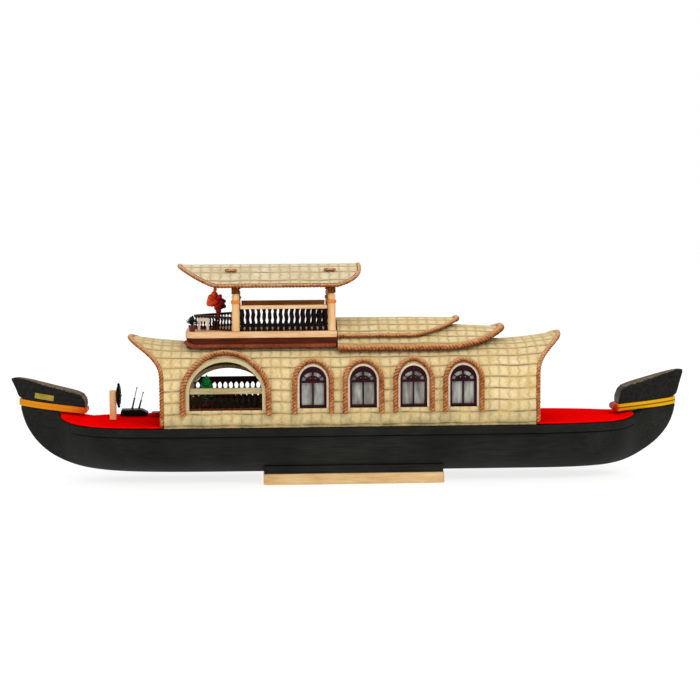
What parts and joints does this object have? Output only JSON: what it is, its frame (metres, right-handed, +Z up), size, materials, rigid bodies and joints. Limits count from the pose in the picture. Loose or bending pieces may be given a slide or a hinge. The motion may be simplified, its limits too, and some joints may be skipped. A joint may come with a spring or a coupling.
{
  "type": "wooden houseboat model on a plinth",
  "caption": "Souvenir model of a thatched rice barge houseboat on a wooden plinth, with a turning helm wheel.",
  "frame": {"origin": "on the table under the middle of the boat's length and breadth", "axes": "+X towards the bow, +Y to port, +Z up"},
  "size_m": [0.6133, 0.1126, 0.1966],
  "materials": {
    "plinth_wood": "varnished pale softwood",
    "black_painted_wood": "satin black paint over carved wood",
    "red_gloss_wood": "glossy red enamel over wood",
    "gold_paint": "golden yellow enamel over wood",
    "bamboo_mat": "split bamboo mat, stitched in a grid, unvarnished",
    "canopy_mat": "paler split bamboo mat, unvarnished",
    "coir_rope": "twisted coir cord dyed orange brown",
    "light_wood": "plain pale wood, lightly varnished",
    "brown_wood": "dark brown stained wood",
    "maroon_wood": "dark red brown stained wood",
    "window_pane": "grey glossy sheet",
    "green_leaf": "matte green",
    "red_leaf": "matte red",
    "terracotta": "matte red brown",
    "grey_metal": "dull grey wire",
    "cream_wood": "cream painted wood"
  },
  "bodies": {
    "boat": {"aft_bulkhead": "light_wood", "aft_deck": "red_gloss_wood", "arch_rope_port": "coir_rope", "arch_rope_starboard": "coir_rope", "balcony_plant": "green_leaf", "balcony_pot": "terracotta", "balcony_rail": "brown_wood", "balcony_stool": "cream_wood", "bow_band": "gold_paint", "bow_prow": "black_painted_wood", "cabin_floor": "brown_wood", "cabin_rope_aft": "coir_rope", "cabin_rope_fore": "coir_rope", "cabin_shell_port": "bamboo_mat", "cabin_shell_starboard": "bamboo_mat", "canopy": "canopy_mat", "canopy_rope": "coir_rope", "cradle_block": "black_painted_wood", "deck_locker": "black_painted_wood", "deck_step": "red_gloss_wood", "foredeck": "red_gloss_wood", "helm_post": "light_wood", "hull": "black_painted_wood", "lever_aft": "grey_metal", "lever_fore": "grey_metal", "lounge_bulkhead": "light_wood", "lounge_plant": "green_leaf", "lounge_pot": "terracotta", "lounge_rail_port": "brown_wood", "lounge_rail_starboard": "brown_wood", "lower_tier": "bamboo_mat", "lower_tier_rope": "coir_rope", "plinth": "plinth_wood", "red_shrub": "red_leaf", "shrub_pot": "terracotta", "stern_band": "gold_paint", "stern_prow": "black_painted_wood", "upper_deck": "light_wood", "upper_fascia": "maroon_wood", "upper_post_aft_port": "light_wood", "upper_post_aft_starboard": "light_wood", "upper_post_fore_port": "light_wood", "upper_post_fore_starboard": "light_wood", "upper_rail_port": "brown_wood", "upper_rail_starboard": "brown_wood", "upper_tier": "bamboo_mat", "upper_tier_rope": "coir_rope", "wale_port": "black_painted_wood", "wale_starboard": "black_painted_wood", "window_panes_port": "window_pane", "window_panes_starboard": "window_pane", "window_port_1": "maroon_wood", "window_port_2": "maroon_wood", "window_port_3": "maroon_wood", "window_port_4": "maroon_wood", "window_starboard_1": "maroon_wood", "window_starboard_2": "maroon_wood", "window_starboard_3": "maroon_wood", "window_starboard_4": "maroon_wood"},
    "helm": {"helm_wheel": "black_painted_wood"}
  },
  "joints": [
    {"name": "helm_turn", "type": "hinge", "parent": "boat", "child": "helm", "pos_m": [0.2088, 0, 0.0774], "axis": [1, 0, 0], "continuous": true}
  ]
}
